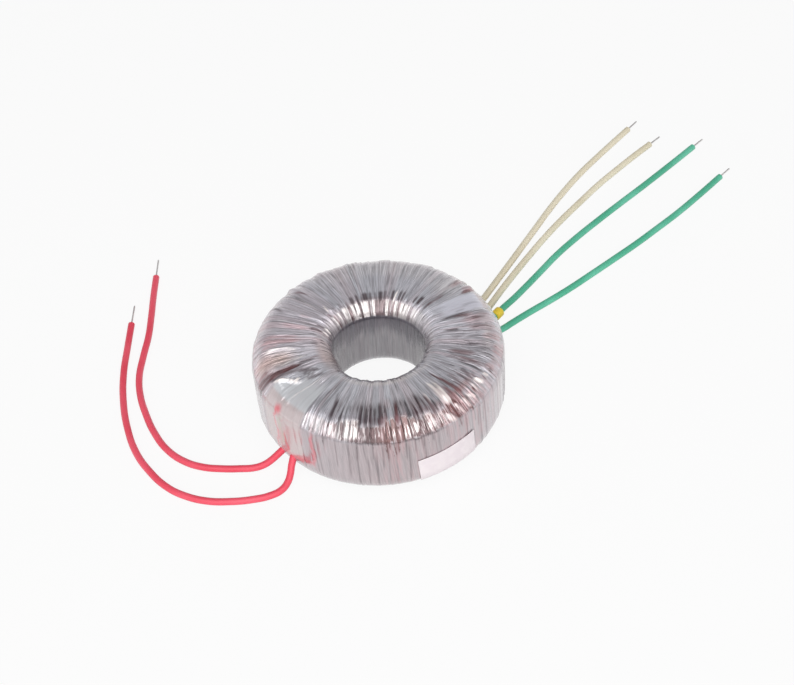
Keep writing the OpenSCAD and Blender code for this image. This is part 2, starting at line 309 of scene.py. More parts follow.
# ---------- marker sleeve
# A short yellow PVC sleeve on the first green lead, cut from tube and rolled soft at both
# ends, so it looks like a bead. It marks which secondary the lead belongs to.
MARKER_R, MARKER_BORE, MARKER_LEN, MARKER_BACK = 1.65, 1.2, 3.4, 0.4
ROLLED_R, SWELL = 0.29, 0.42
half = MARKER_LEN / 2
bead = bmesh.new()
rim = [bead.verts.new((x, 0, z)) for x, z in
       ((MARKER_BORE, -half), (MARKER_R, -half), (MARKER_R, half), (MARKER_BORE, half))]
bead.faces.new(rim)
bmesh.ops.bevel(bead, geom=rim[1:3], offset=ROLLED_R, segments=5, profile=0.5,
                affect="VERTICES", material=-1)
bmesh.ops.delete(bead, geom=bead.faces[:], context="FACES_ONLY")
for vertex in bead.verts:
    if vertex.co.x > MARKER_BORE + 0.01:
        vertex.co.x += SWELL * (1 - (vertex.co.z / half) ** 2)
bmesh.ops.spin(bead, geom=bead.verts[:] + bead.edges[:], cent=(0, 0, 0), axis=(0, 0, 1),
               angle=2 * math.pi, steps=48, use_merge=True)
bmesh.ops.recalc_face_normals(bead, faces=bead.faces[:])
before, end = routes["green_1"][3:5]
put_along(bead, (end + before) / 2, end - before, -MARKER_BACK)
yellow = two_tone("yellow_pvc_sleeve", "#f0ca2a", "#f8da48", 2.9, 0.45, 0.008, 0.42, ior=1.53)
LEADS["green_1"][1].append(piece("marker", bead, yellow, "yellow_sleeve", "marker_sleeve"))

# The length of each lead along its curve, to 0.1 mm.
for lead, (wire, carried) in LEADS.items():
    length = round(wire.data.splines[0].calc_length(), 4)

# ---------- wrapping film
# Clear polyester film, wound through the hole in narrow turns that overlap by half. It
# shows the copper through a haze, with a step at each turn and a pleat where it bunches.
film_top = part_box("outer_wrap")[1]
OUTER_R, BODY_H = round(film_top[0] / MM, 1), round(film_top[2] / MM, 1)
HOLE_R, OUTER_FILLET, HOLE_FILLET = 15.0, 7.8, 6.2
ARC_OUT, ARC_IN = OUTER_FILLET * math.pi / 2, HOLE_FILLET * math.pi / 2
OUTER_EDGE, HOLE_EDGE = OUTER_R - OUTER_FILLET, HOLE_R + HOLE_FILLET
FACE_W = OUTER_EDGE - HOLE_EDGE
WALL_H, HOLE_H = BODY_H - 2 * OUTER_FILLET, BODY_H - 2 * HOLE_FILLET
LOOP = WALL_H + HOLE_H + 2 * (ARC_OUT + ARC_IN + FACE_W)
TOP_START = WALL_H + ARC_OUT
HOLE_START = TOP_START + FACE_W + ARC_IN
BASE_START = HOLE_START + HOLE_H + ARC_IN


def place_on_section(r, z):
    """Where a point of the section lies: mm along a turn of film, up from the foot of the
    outer wall and over the top, and the degrees that it faces away from straight up."""
    upper = z > BODY_H / 2
    if r > OUTER_EDGE:
        if abs(z - BODY_H / 2) <= WALL_H / 2 + 1e-6:
            return z - OUTER_FILLET, 90.0
        centre = BODY_H - OUTER_FILLET if upper else OUTER_FILLET
        tilt = math.degrees(math.atan2(r - OUTER_EDGE, z - centre))
        return (WALL_H if upper else LOOP) + (90 - tilt) / 90 * ARC_OUT, tilt
    if r < HOLE_EDGE:
        if abs(z - BODY_H / 2) <= HOLE_H / 2 + 1e-6:
            return HOLE_START + BODY_H - HOLE_FILLET - z, -90.0
        centre = BODY_H - HOLE_FILLET if upper else HOLE_FILLET
        tilt = math.degrees(math.atan2(r - HOLE_EDGE, z - centre))
        start = TOP_START + FACE_W if upper else HOLE_START + HOLE_H - ARC_IN
        return start - tilt / 90 * ARC_IN, tilt
    if upper:
        return TOP_START + OUTER_EDGE - r, 0.0
    return BASE_START + r - HOLE_EDGE, 180.0


def ease(low, high, value):
    """0 below low, 1 above high, and a smooth step between."""
    t = min(max((value - low) / (high - low), 0.0), 1.0)
    return t * t * (3 - 2 * t)


def hump(value, centre, half):
    """1 at the centre, falling smoothly to 0 at half on either side."""
    return 1 - ease(0, half, abs(value - centre))


# Marks on the film, each a spindle that runs roughly along the turns: its azimuth and mm
# along at one end, the degrees that it drifts by and the mm along at its other end, half
# its width in degrees, and how strong it is.
# Dark folds, where several layers are pulled tight on the wire:
FOLDS = [
    (200.6, 33.6, 1.8, 24.5, 1.5, 1), (203.2, 27, 0, 20.6, 1.4, .9), (202.4, 24, -.8, 13, 1.3, .95),
    (203.6, 30, 0, 25.5, 1.4, .7), (199, 37.2, -.7, 31.5, 1.7, .85), (188, 34.6, 1, 33.4, .9, .5),
    (182.5, 21.2, .5, 17.8, 1, .6), (180, 39.4, 1, 37, 2, .6), (212.5, 36.6, -8, 30.4, 3.2, .85),
    (219, 36.8, -6, 30.6, 2.6, .75), (210, 33.2, -5, 29.6, 2.2, .6), (216, 34.8, -9, 30.6, 2.4, .65),
    (231.3, 29, .4, 20.5, .5, .6), (205, 32, -1.2, 26.6, 2, .6), (242.5, 31, 1.5, 21.5, 1.6, 1),
    (240.6, 32.5, 1.4, 27.5, .8, .6), (248.7, 28.5, .3, 16.8, .8, .9), (251.3, 23.5, 0, 17.3, .6, .9),
    (254.6, 24, 0, 17.3, .6, .8), (258.6, 30, 0, 20, 1.2, 1), (261.2, 29.5, 0, 20.8, 1, .9),
    (264, 29.8, 0, 20.6, 1.2, 1), (266.4, 29, -.2, 22, .8, .8), (269, 31, 0, 20.6, 1.4, 1),
    (272, 28, .6, 21, .8, .85), (284, 29.6, 0, 22.2, .9, .9), (287.5, 28.8, .5, 17, .9, 1),
    (291, 31, -.5, 22, 1.3, 1), (290, 23, 0, 17, .6, .8), (296, 29.6, .6, 20, 1.4, 1),
    (298.3, 27, -.3, 20.5, .8, .8), (246.2, 29.5, .1, 24.5, .8, .7), (252.4, 28.5, .2, 25.6, .8, .6),
    (256.4, 28.5, .2, 25.5, .7, .6), (281.2, 30, -.2, 26.5, .8, .6), (293.5, 28, .1, 23, .8, .7),
    (285.9, 27, .2, 22, .6, .7), (300, 22.5, .3, 16.8, .6, .7), (312.2, 34.5, .4, 30, .7, .6),
    (318.5, 24.5, .5, 16.8, .6, .6), (314.5, 21.8, 1, 16.2, .6, .8), (322.6, 28.4, -1.3, 23, 1.2, .85),
    (327, 28.6, -2.5, 24, 2, .8), (332, 31.3, -1, 21, 1.1, .85), (335.5, 30.5, -1.5, 22, .8, .5),
    (347, 30.2, -1, 25, 1.1, .45), (350, 34.5, -2, 25.5, .9, .4), (2, 36.6, -.7, 31.6, 1.9, .9),
    (14.6, 36.9, .7, 27.8, 1.7, .85), (12.5, 36.3, .9, 31.5, .8, .5), (36.5, 39.4, .5, 35, 2, .8),
    (37.4, 34, -2.4, 27, 1.5, .3), (42.5, 31.7, 0, 28.8, .8, .4), (45.5, 39.3, .5, 34.6, 2.6, 1),
    (50, 39.4, 0, 35.4, 1.6, .85), (57.5, 38.2, 0, 33.8, .7, .5), (62.2, 35.4, 0, 40.3, 1.7, .85),
    (65.4, 35.4, 0, 40.1, 1.8, .85), (72.2, 35.8, 0, 40.4, 1.9, .95), (79.4, 36.4, 0, 40.4, 2.1, .75),
    (83.8, 36.8, 0, 40.6, 3.1, .95), (93.6, 37, 0, 40.6, 1.9, .8), (98.7, 36.9, 0, 40.5, 4.2, .95),
    (102.6, 37.8, 0, 41, 1.3, .6), (106.8, 36.8, -.3, 41.4, 2, .85), (112.3, 37.1, 0, 40.6, 3, .85),
    (118.6, 37.9, .1, 41.6, 1.8, .75), (125.8, 37.4, -.3, 39.8, 2.2, .6), (157.3, 37.2, 0, 40.8, 1.4, .9),
    (163.3, 35.2, -.3, 40.9, 1.7, 1), (89, 37.2, 0, 40.2, 1.6, .6), (75.8, 36.9, 0, 39.9, 1.2, .5),
    (132.5, 37.4, 0, 39.8, 2, .5), (148.5, 37.5, -.3, 40, 1.6, .5), (55.5, 37.4, 0, 39.9, 1.8, .5),
    (169.5, 36, -.2, 39, 1.4, .5), (120, 41.4, 0, 46.2, .9, .8), (105.4, 41, -.4, 46.6, .9, .7),
    (117.4, 45.4, -.9, 48.8, .7, .9), (154.2, 25.5, -4.9, 17.5, .8, .7), (121.5, 31.2, -1, 24, .6, .45),
    (103.4, 30, -.9, 21.5, .6, .45), (139.6, 22.5, -1.6, 18.2, .7, .6), (68.6, 34.3, .4, 23.5, .6, .4),
    (78, 24.5, 0, 19.5, .5, .4), (87.4, 41.3, 0, 46.6, .7, .5), (130.2, 41.2, 0, 46.5, .8, .6),
    (137.6, 40.5, -.4, 47, .9, .7), (154.9, 40, .3, 46.6, .8, .7), (160, 40.8, -.7, 46.6, .7, .7),
    (338.5, 27, -1, 21, .8, .5), (328.7, 30, -.7, 23, .7, .5), (128.2, 33, -.6, 27, 2, .3),
    (246.4, 22.6, 0, 17.2, .5, .6), (309, 34, -.4, 29.5, .6, .5), (301.3, 33, -.3, 26, .6, .5),
    (293, 30, .2, 22.5, .6, .6), (258.2, 17.2, -.4, 8, .65, .8), (269.3, 17.2, -.2, 4, .6, .6),
    (248.6, 17, -.2, 4, .5, .6), (258, 12, .3, -5, .45, .6), (262.7, 12, -.1, -5, .45, .6),
    (266.3, 15, 0, -5, .5, .65), (271.6, 14, 0, -5, .45, .55), (280.6, 17, .1, -5, .5, .65),
    (254.1, 16, .2, -1, .45, .5), (244.6, 9, .2, -4, .4, .4), (275, 9, .2, -5, .5, .5),
    (288, 12, .1, -4, .5, .6), (254.3, 17, .3, 10, .5, .5), (265, 16.6, -.2, 9, .5, .45),
    (279.3, 17.2, .2, 7, .6, .7), (283.5, 16.6, .1, 10, .5, .5), (287.6, 17.2, 0, 11, .6, .7),
    (314.5, 16, .3, 10, .5, .6), (316.5, 15.6, .5, 6, .6, .6), (320.3, 15, .2, 6.5, .6, .65),
    (323.8, 14, .7, 7, .5, .6), (298.6, 16.8, 0, 12, .5, .5), (309, 16, .4, 11, .5, .5),
    (329.5, 17.6, 0, 14, .5, .6), (343.5, 18, 0, 15, .5, .5), (243.2, 17, -.2, 13, .5, .6),
    (291.6, 16.8, .2, 13, .5, .5),
]
# Red-brown folds, where the copper itself shows:
COPPER_FOLDS = [
    (200.2, 32.5, 1, 19.6, 2.6, 1), (199.8, 24.5, -.4, 15, 2.2, .85), (197, 39, .6, 36.2, 1, .7),
    (196.6, 22.5, .6, 16.5, 1.5, .6), (200.6, 21.5, -1, 16, 1.6, .7), (278.9, 30.4, -2.5, 20.8, 1.6, 1),
    (273.5, 22.5, -.3, 16.4, .6, .9), (276, 22.5, 0, 11, .7, .95), (275, 18, 0, 8, .6, .6),
    (271.5, 18, 0, 8, .7, .7), (305.5, 17.4, 1.1, 13, .6, .7), (304.4, 22.8, 2.1, 16, 1.5, 1),
    (303, 21, 2.5, 17, .9, .9), (309.5, 28.6, .4, 18.6, 1.2, .95), (312.8, 32.6, .7, 21.6, 1.5, 1),
    (313.6, 28, .2, 22, 1.8, .9), (307.5, 26, 1.1, 20.5, .7, .7), (316.2, 27.5, .4, 22.5, .6, .6),
    (339.3, 35, 1.6, 26, 3.4, .6), (14.2, 32.5, -1.6, 27, 1.8, .7), (336, 31, -1, 24, 1.4, .5),
    (311.5, 35.5, 1.1, 29, 1, .8), (319.5, 31, -1.9, 23.5, .9, .6), (8.6, 28, 1.2, 24, 1, .5),
    (10.8, 27.4, -.3, 24.8, .8, .65), (30.6, 25.8, 2.2, 17, 1.9, .95), (39.6, 24.6, 2.9, 17.5, 1.3, .6),
    (36.6, 37.5, 1, 29.5, 2, .5), (140, 40.2, 1.5, 38.3, 1.4, .7), (137.2, 45.8, .6, 39.3, .7, .8),
    (135, 28.4, 2.6, 22.6, .8, .65), (119.4, 41.5, 0, 46, .6, .6), (16, 30.3, -.6, 26.3, .8, .6),
    (298.6, 20.5, .4, 17, .5, .6), (310.8, 20, .4, 16.5, .6, .7), (69.5, 44.8, 22.5, 44.4, 1, .35),
    (175.5, 35.5, .5, 30, .6, .4),
]

# Faint ones lie all over the face, most of them near the shoulders.
chance = random.Random(11)
for _ in range(150):
    low = chance.choice((20.5, 24, 27, 30, 33, 36)) + chance.uniform(-1.5, 1.5)
    azimuth, reach = chance.uniform(0, 360), chance.uniform(3, 8)
    FOLDS.append((azimuth, low, chance.gauss(0, 0.5), low + reach, chance.uniform(0.5, 0.9),
                  chance.uniform(0.15, 0.5)))
# More of them, a little stronger, lie on the right.
for _ in range(60):
    low, azimuth = chance.uniform(20, 31), chance.uniform(302, 382)
    FOLDS.append((azimuth, low, chance.gauss(0, 0.7), low + chance.uniform(3, 8),
                  chance.uniform(0.6, 1.3), chance.uniform(0.2, 0.5)))

# White spots of painted highlight, where the film stands off the wire over air caught under it:
BLISTERS = [
    (187.2, 32.8, -3.3, 27.6, 1.2, .5), (183.8, 28.6, 2.5, 22.4, 1.4, .55), (193.7, 35.6, 3.5, 26, .7, .7),
    (213.9, 28.8, -5.2, 25.3, 1.7, 1), (209.9, 26.4, -5.2, 21.8, 1.4, 1), (208.2, 29.6, 5.2, 28.1, 1.3, .9),
    (221.3, 36.8, -2.8, 20.6, .7, .35), (303.8, 33, -.5, 22.8, 1.5, .95), (306.8, 31.8, -1.1, 22.8, 1.5, .95),
    (304.8, 28.8, .1, 21.6, 3.2, 1), (297, 30, -.1, 24.6, .9, .65), (324.5, 23, 2.4, 19.6, 2, 1),
    (321.3, 22.6, 0, 19.4, .9, .7), (316, 21, 2, 18.6, 1.5, .95), (331, 21.6, .5, 19.4, 1.2, .8),
    (301, 19.8, 2.5, 16.5, 2.5, .95), (307, 21.6, 2.3, 16.8, 1, .9), (312.4, 21.3, 1, 17.2, 1, .8),
    (136.7, 35.4, 2.2, 38.4, .9, 1), (68.4, 36.2, 2, 41.5, 1.1, 1), (160.5, 29, -.5, 24, .7, .3),
    (141.5, 34, -1, 26, .8, .3), (287, 21.5, -1.5, 18, .8, .6), (158.4, 43.5, -.7, 40.3, .9, .9),
    (163.4, 43, -1.1, 40, .9, .9), (139.8, 44, .8, 39.8, .9, .9), (132.2, 43, .4, 39.9, 1.1, .7),
    (124, 41.6, 0, 39.8, 3, .6),
]
# Pink flushes, where copper shows evenly through a few layers:
FLUSHES = [
    (177, 34.2, .5, 20.2, 2.6, 1), (173, 33.5, .5, 22.5, 1.8, .6), (180, 27.3, 1.5, 20.8, 1.8, .7),
    (164, 35.5, -1, 26.5, 2.8, .4), (152.5, 35.2, .5, 30.6, 1.6, .45), (8, 30.5, 1, 19.5, 6.5, .95),
    (2, 29, 1, 20, 4, .6), (14, 30.3, -1, 25.6, 1.5, .9), (348, 21.3, 4, 15.5, 6, .8),
    (342, 21.3, 2, 15.5, 4, .7), (336, 22.3, 2, 18.6, 2.5, .6), (32, 24.5, 2, 17.6, 3.5, .7),
    (39, 26.3, 2, 19.6, 2.4, .6), (274, 31.3, 0, 26.6, 3, .35), (195, 22, -4, 15, 6, .5),
    (310, 24, 1, 17, 7, .6), (355, 25, 3, 17, 4, .7),
]


def by_degree(marks):
    """Sorts marks into the whole degrees that they touch."""
    table = [[] for _ in range(360)]
    for mark in marks:
        azimuth, _, drift, _, half, _ = mark
        low, high = azimuth + min(drift, 0) - half, azimuth + max(drift, 0) + half
        for degree in range(math.floor(low), math.floor(high) + 1):
            table[degree % 360].append(mark)
    return table


def marked(table, azimuth, along):
    """How strongly a mark of this kind shows at one spot, and how far across it that is,
    from -1 to 1, with 1 on the side that faces the foot of the ring's front."""
    strongest = side = 0.0
    for start, along_0, drift, along_1, half, strength in table[int(azimuth) % 360]:
        t = (along - along_0) / (along_1 - along_0)
        if -0.1 < t < 1.1:
            taper = ease(-0.1, 0.25, t) * (1 - ease(0.75, 1.1, t))
            across = (azimuth - start - drift * t + 180) % 360 - 180
            half_here = half * (0.35 + 0.65 * taper)
            here = strength * taper * (1 - ease(0.3 * half_here, half_here, abs(across)))
            if here > strongest:
                strongest, side = here, across / half_here * (1 if 90 < azimuth < 270 else -1)
    return strongest, side


folds_at, copper_at = by_degree(FOLDS), by_degree(COPPER_FOLDS)
blisters_at, flushes_at = by_degree(BLISTERS), by_degree(FLUSHES)

# How glossy the film lies on the shoulders, from one azimuth to the next. The last figure
# sets the painted highlight there, and its paler colour also reflects more. On the outer
# shoulder the third figure is how far it droops at its upper edge, as a share of DROOP_H.
OUTER_GLOSS = [
    (231.5, 241.2, .3, 1), (241.2, 244.5, -.2, .7), (244.5, 248.3, .1, .95), (248.3, 251, .6, 1),
    (251, 254.4, .8, 1), (254.4, 258.3, .9, 1), (258.3, 262, 0, .55), (262, 266, .1, .4), (266, 271, .1, .6),
    (271, 273.3, .8, .95), (273.3, 276, 1, .9), (276, 279, 0, .6), (279, 282.5, 1, 1), (282.5, 286, .6, .95),
    (286, 289.5, .1, .7), (289.5, 294.5, .5, .95), (294.5, 296.4, .2, .55), (296.4, 300.5, .1, .85),
    (300.5, 302, .2, .6), (302, 307.4, .9, .45), (307.4, 311, .4, .7), (311, 314, .2, .5),
    (314, 319, .2, .75), (319, 322.5, .2, .65), (322.5, 329, .4, .8), (329, 333, .3, .6),
]
INNER_GLOSS = [
    (28, 45, 1), (49.5, 61, 1), (63.3, 67.7, .95), (70.5, 72, .5), (74.4, 78.2, 1), (89.8, 92.8, 1),
    (93, 95.6, .6), (96.8, 104.6, 1), (107.6, 116.8, 1), (120.6, 127.6, .85), (130.8, 134.2, .65),
    (138.4, 141.6, .95), (144, 152, .45), (156.4, 158.6, .85), (161.4, 164.2, .9), (168, 172, .5),
]
OUTER_PLAIN, INNER_PLAIN = 0.45, 0.05


def gloss_at(spans, azimuth, otherwise):
    """How glossy the span that holds this azimuth is, which sets its painted highlight, and how far it
    droops, with soft ends.
    """
    soft = 0.4
    for start, end, *rest in spans:
        if start - soft < azimuth < end + soft:
            inside = ease(start - soft, start + soft, azimuth)
            inside *= 1 - ease(end - soft, end + soft, azimuth)
            return otherwise + (rest[-1] - otherwise) * inside, rest[0] * inside
    return otherwise, 0.0


# Each turn of film is a few degrees wide, and lies a little otherwise than the next.
turn_edges, turns = [0.0], []
while turn_edges[-1] < 360:
    width = chance.choice((1.6, 2.2, 2.8, 3.4, 4.4, 5.4)) * chance.uniform(0.85, 1.15)
    if 360 - turn_edges[-1] - width < 1.5:
        width = 360 - turn_edges[-1]
    turn_edges.append(turn_edges[-1] + width)
    turns.append(SimpleNamespace(
        lift=chance.uniform(0.03, 0.13), roll=chance.gauss(0, 0.045), crease=chance.gauss(0, 2.6),
        dark=chance.uniform(0, 1), edge=chance.uniform(0, 1), slump=chance.gauss(0, 0.12),
        reach=chance.uniform(-6, 6)))

# Pleats: azimuth of the crest, degrees up to it, degrees down from it, height in mm,
# radius where it starts and where it ends.
PLEATS = [
    (103, 2.5, 1.2, .22, 20, 42), (118.5, 2.5, 1.2, .34, 19, 42), (128, 3.5, 1.2, .34, 17, 39),
    (136, 4, 1.2, .5, 17, 42), (146, 3.5, 1.2, .34, 16, 30), (152.5, 4, 1.2, .36, 18, 42),
    (162.5, 4.5, 1.3, .2, 16, 33), (171.5, 4, 1.3, .26, 19, 38), (184.5, 2.6, 6.8, .85, 25, 39),
    (197, 2.2, 1.6, .28, 20, 31), (206.5, 2.6, 8.5, .85, 27, 37), (35, 3.5, 1.5, .5, 32, 42),
    (14.5, 2.5, 1.2, .25, 30, 42),
]


def pleat(azimuth, radius):
    """How high the pleats stand here."""
    high = 0.0
    for crest, rise, fall, height, start, end in PLEATS:
        d = azimuth - crest
        if -rise - 1 < d < fall and start - 2 < radius < end + 1:
            here = height * ease(start - 2, start + 3, radius) * (1 - ease(end - 3, end + 0.5, radius))
            high += here * max(1 + d / rise if d < 0 else 1 - d / fall, 0)
    return high


# Azimuths of what the film is drawn taut over at the gaps that the leads come out of.
PRIMARY_RIDGES = [203.5, 216.5, 235, 241]
SECONDARY_RIDGES = [22, 31, 36, 40.5, 45, 53]


def chord(azimuth, ridges):
    """How far a straight span between two ridges lies inside the round wall."""
    for low, high in zip(ridges, ridges[1:]):
        if low <= azimuth <= high:
            half = math.radians(high - low) / 2
            return OUTER_R * (1 - math.cos(half) / math.cos(math.radians(azimuth - low) - half))
    return 0.0


# Azimuths of the ring's front, where the label's side is, and of its back.
FRONT, BACK = 275, 90
# The wall turns over into the shoulder in a crease, flat from one tilt to the other.
CREASE_FROM, CREASE_TO = 88.0, 46.0
CREASE_TILT = (CREASE_FROM + CREASE_TO) / 2
TOP_MIDDLE = (OUTER_EDGE + HOLE_EDGE) / 2
LEAN_DEG = 1.6


def read_spot(vertex):
    """One point of the even torus: where it lies, which turn of film covers it, which marks
    touch it, and how much of each part of the ring it belongs to, from 0 to 1."""
    def near(centre, half):
        """1 at this azimuth, falling to 0 at half on either side."""
        return hump((azimuth - centre + 180) % 360 - 180, 0, half)

    a = math.atan2(vertex.co.y, vertex.co.x)
    azimuth, radius = math.degrees(a) % 360, vertex.co.xy.length
    along, tilt = vertex[along_layer], vertex[tilt_layer]
    outside = along < TOP_START + FACE_W + 3 or along > LOOP - ARC_OUT
    front, back = near(FRONT, 75), near(BACK, 85)
    # The turns lean, one way on the wall and the other way in the hole.
    shifted = (azimuth + LEAN_DEG * math.sin(2 * math.pi * (along - WALL_H / 2) / LOOP)) % 360
    k = min(bisect_right(turn_edges, shifted) - 1, len(turns) - 1)
    since, until = shifted - turn_edges[k], turn_edges[k + 1] - shifted
    turn, across = turns[k], since / (turn_edges[k + 1] - turn_edges[k])
    from_edge = min(since, until)
    edge_turn = turn if across < 0.5 else turns[(k + 1) % len(turns)]
    # Beside the gap at the red leads the shoulder is calm, with nearly no folds.
    calm = near(236.7, 6) * ease(20, 28, tilt)
    # A fold may run on below the wall, where its mm along turn negative.
    run = along - LOOP if along > LOOP - ARC_OUT else along
    fold = marked(folds_at, azimuth, run)[0] * (1 - 0.85 * calm)
    copper = marked(copper_at, azimuth, run)[0]
    # White spots: painted highlight where the film is raised.
    blister, side = marked(blisters_at, azimuth, along)
    flush = marked(flushes_at, azimuth, along)[0] * (0.4 + 0.6 * turn.edge)
    # The painted highlight, block by block on the shoulders, and how far the film droops there.
    spans, plain = (OUTER_GLOSS, OUTER_PLAIN) if tilt >= 0 else (INNER_GLOSS, INNER_PLAIN)
    gloss, droop = gloss_at(spans, azimuth, plain)
    gloss *= 1 - 0.35 * ease(52, 63, tilt)
    clear = smooth_over_gaps(azimuth, along) if outside else 0.0
    # Where the film droops, its shoulder turns bright further up, in its reflection and in its painted
    # highlight.
    bright = 34 - 17 * min(max(droop, 0), 1)
    outer = ease(bright - 6, bright + 4, tilt) * (1 - clear)
    outer *= 1 - ease(CREASE_TILT - 5, CREASE_TILT + 1, tilt)
    inner = ease(29, 37, -tilt) * (1 - ease(74, 82, -tilt))
    wall = ease(CREASE_TILT - 4, CREASE_TILT + 4, tilt) * (1 - ease(140, 170, tilt))
    hole = ease(75, 84, -tilt) * (1 - ease(110, 140, -tilt))
    # Where the painted highlight goes: the front outer shoulder and the back inner one.
    shiny = outer * near(278, 62) + inner * back
    # Painted shade: a dark band on the face, just above the shoulder.
    shade = max(front, 0.9 * near(312, 26)) * ease(4, 12, tilt)
    shade *= (1 - ease(bright - 4, bright + 4, tilt)) * (1 - clear)
    # All of this is handed on by its own name.
    return SimpleNamespace(**locals())


def smooth_over_gaps(azimuth, along):
    """1 on the smooth film over the two gaps that the leads come out of, 0 elsewhere."""
    clear = 0.0
    if along < 36:
        start = 205.5 + 8 * hump(along, 29, 7)
        clear = ease(start - 1, start + 1.5, azimuth) * (1 - ease(230, 231.6, azimuth))
        clear *= 1 - ease(28, 36, along)
    start = 15.7 + 1.2 * ease(30, 20, along) if along < 30 else 16.5
    end = 30.5 - 1.5 * ease(32, 22, along)
    strip = 0.9 * ease(start - 1, start + 1, azimuth) * (1 - ease(end - 1, end + 1, azimuth))
    return max(clear, strip * (1 - ease(33, 38, along)))


BLISTER_H, FOLD_DEPTH, DROOP_H, DROOP_DEPTH = 0.7, 0.14, 0.7, 0.3
BACK_SWELL, RED_SIDE_SWELL, CROWN_H, SECONDARY_SAG = 0.65, 1.6, 0.15, 0.6


def raised(spot):
    """How many mm the film stands off the even torus."""
    azimuth, radius, along, tilt = spot.azimuth, spot.radius, spot.along, spot.tilt
    turn, near, droop = spot.turn, spot.near, spot.droop
    # The step from turn to turn, and how each turn lies on the one below.
    off = turn.lift * (1 - spot.across) * (0.4 + 0.6 * radius / OUTER_R) + turn.roll * (2 * spot.across - 1)
    off *= 1 - 0.6 * near(2, 20)
    off += BLISTER_H * spot.blister * ease(-1, -0.4, spot.side) * (1 - spot.side) / 2
    off -= FOLD_DEPTH * max(spot.fold, spot.copper)
    if tilt >= 0:
        # It stands up a little before the shoulder and droops from there.
        off += DROOP_H * droop * ease(20, 27, along) * (1 - ease(28, 33, along))
        off -= DROOP_DEPTH * min(droop, 1) * (1 - ease(20.5, 27, along)) * ease(16.5, 20, along)
    if 0 < tilt < 90:
        off += turn.slump * hump(tilt, 40, 40)
        if CREASE_TO <= tilt <= CREASE_FROM:
            edge = CREASE_FROM if tilt > CREASE_TILT + turn.crease else CREASE_TO
            flat = OUTER_FILLET * (1 / math.cos(math.radians(tilt - edge)) - 1)
            off += flat * (0.3 + 0.7 * spot.front)
    elif -90 < tilt < 0:
        off += 0.7 * turn.slump * hump(tilt, -40, 45)
    if tilt < -25 and along < HOLE_START + HOLE_H:
        # The turns bunch where they turn down into the hole, most of all beside the red leads.
        swell = ((min(-tilt, 89) - 25) / 64) ** 1.4 * ease(HOLE_START + 9, HOLE_START + 2, along)
        off += max(BACK_SWELL * spot.back, RED_SIDE_SWELL * near(200, 42)) * swell
    if -20 < tilt < 60:
        off += pleat(azimuth, radius) * (1 - ease(42, 60, tilt))
    # The face is a little crowned, and the film sags where no turns lie under it.
    if abs(tilt) < 30:
        off += CROWN_H * hump(radius, TOP_MIDDLE, 8)
    if spot.outside:
        low = ease(0, 60, tilt) if tilt <= 90 else 1 - ease(90, 150, tilt)
        off -= chord(azimuth, PRIMARY_RIDGES) * low * low
        off -= SECONDARY_SAG * chord(azimuth, SECONDARY_RIDGES) * low
        if tilt < 50:
            sag = 0.7 * hump(azimuth, 219, 17) + 0.4 * hump(azimuth, 38, 15)
            off -= sag * ease(22, 27, radius) * (1 - ease(10, 50, tilt))
    return off


# Leads seen through the film beside the red exits, a green one and then red ones: azimuth,
# how far it sways, half its width, strength, and the mm up where it fades in and out.
LEAD_RUNS = [
    (218, 1, 1.8, 0.6, 9, 12, 20, 25), (214.6, 1, 1.7, 0.9, 4, 7, 25, 26.5),
    (220.4, -0.6, 1.4, 0.7, 4, 7, 15, 20), (236.8, 0.5, 1.4, 0.7, 8, 10, 21, 26),
    (217, 0, 4.5, 0.3, 4, 9, 14, 22),
]


def leads_below(azimuth, height):
    """How strongly the green lead and the red ones show at one spot."""
    sway = 0.9 * math.sin(0.55 * height) + 0.5 * math.sin(1.7 * height)
    green, *reds = [strength * hump(azimuth, middle + sways * sway, half)
                    * ease(foot, foot_end, height) * (1 - ease(head, head_end, height))
                    for middle, sways, half, strength, foot, foot_end, head, head_end in LEAD_RUNS]
    # One red lead crosses to the side low down, and the other has a knot at its top.
    crossing = hump(height, 7.6 + 0.012 * (azimuth - 221) ** 2, 1.5) * (219 < azimuth < 237)
    knot = hump(azimuth, 216, 3.4) * hump(height, 24.9, 2)
    return green, max(0.65 * crossing, knot, *reds)


def coated(colour, coats):
    """A colour under coats of others, each with a strength from 0 to 1."""
    for coat, share in coats:
        colour = [a + (b - a) * share for a, b in zip(colour, coat)]
    return colour


# What the eye sees of the film, from plain haze to the deepest fold, painted highlights and painted shade
# included.
HAZE, WARM_HAZE, WALL_HAZE = srgb("#d8d8e1"), srgb("#d8a3a6"), srgb("#a99c9e")
GLOSSY, DULL, BEIGE, BLISTER = srgb("#fbf4f2"), srgb("#987c7c"), srgb("#e8cbc2"), srgb("#fff6f3")
SMOOTH, SMOOTH_BACK, SMOOTH_WALL = srgb("#d6d8dc"), srgb("#e2e2ef"), srgb("#cdbfbf")
HOLE_TOP, HOLE_FOOT, CREASE = srgb("#514c57"), srgb("#969396"), srgb("#4d353b")
FOLD, COPPER_FOLD, TURN_EDGE = srgb("#38242c"), srgb("#64191c"), srgb("#463a40")
RED_BELOW, GREEN_BELOW = srgb("#e2606d"), srgb("#b7c3ad")


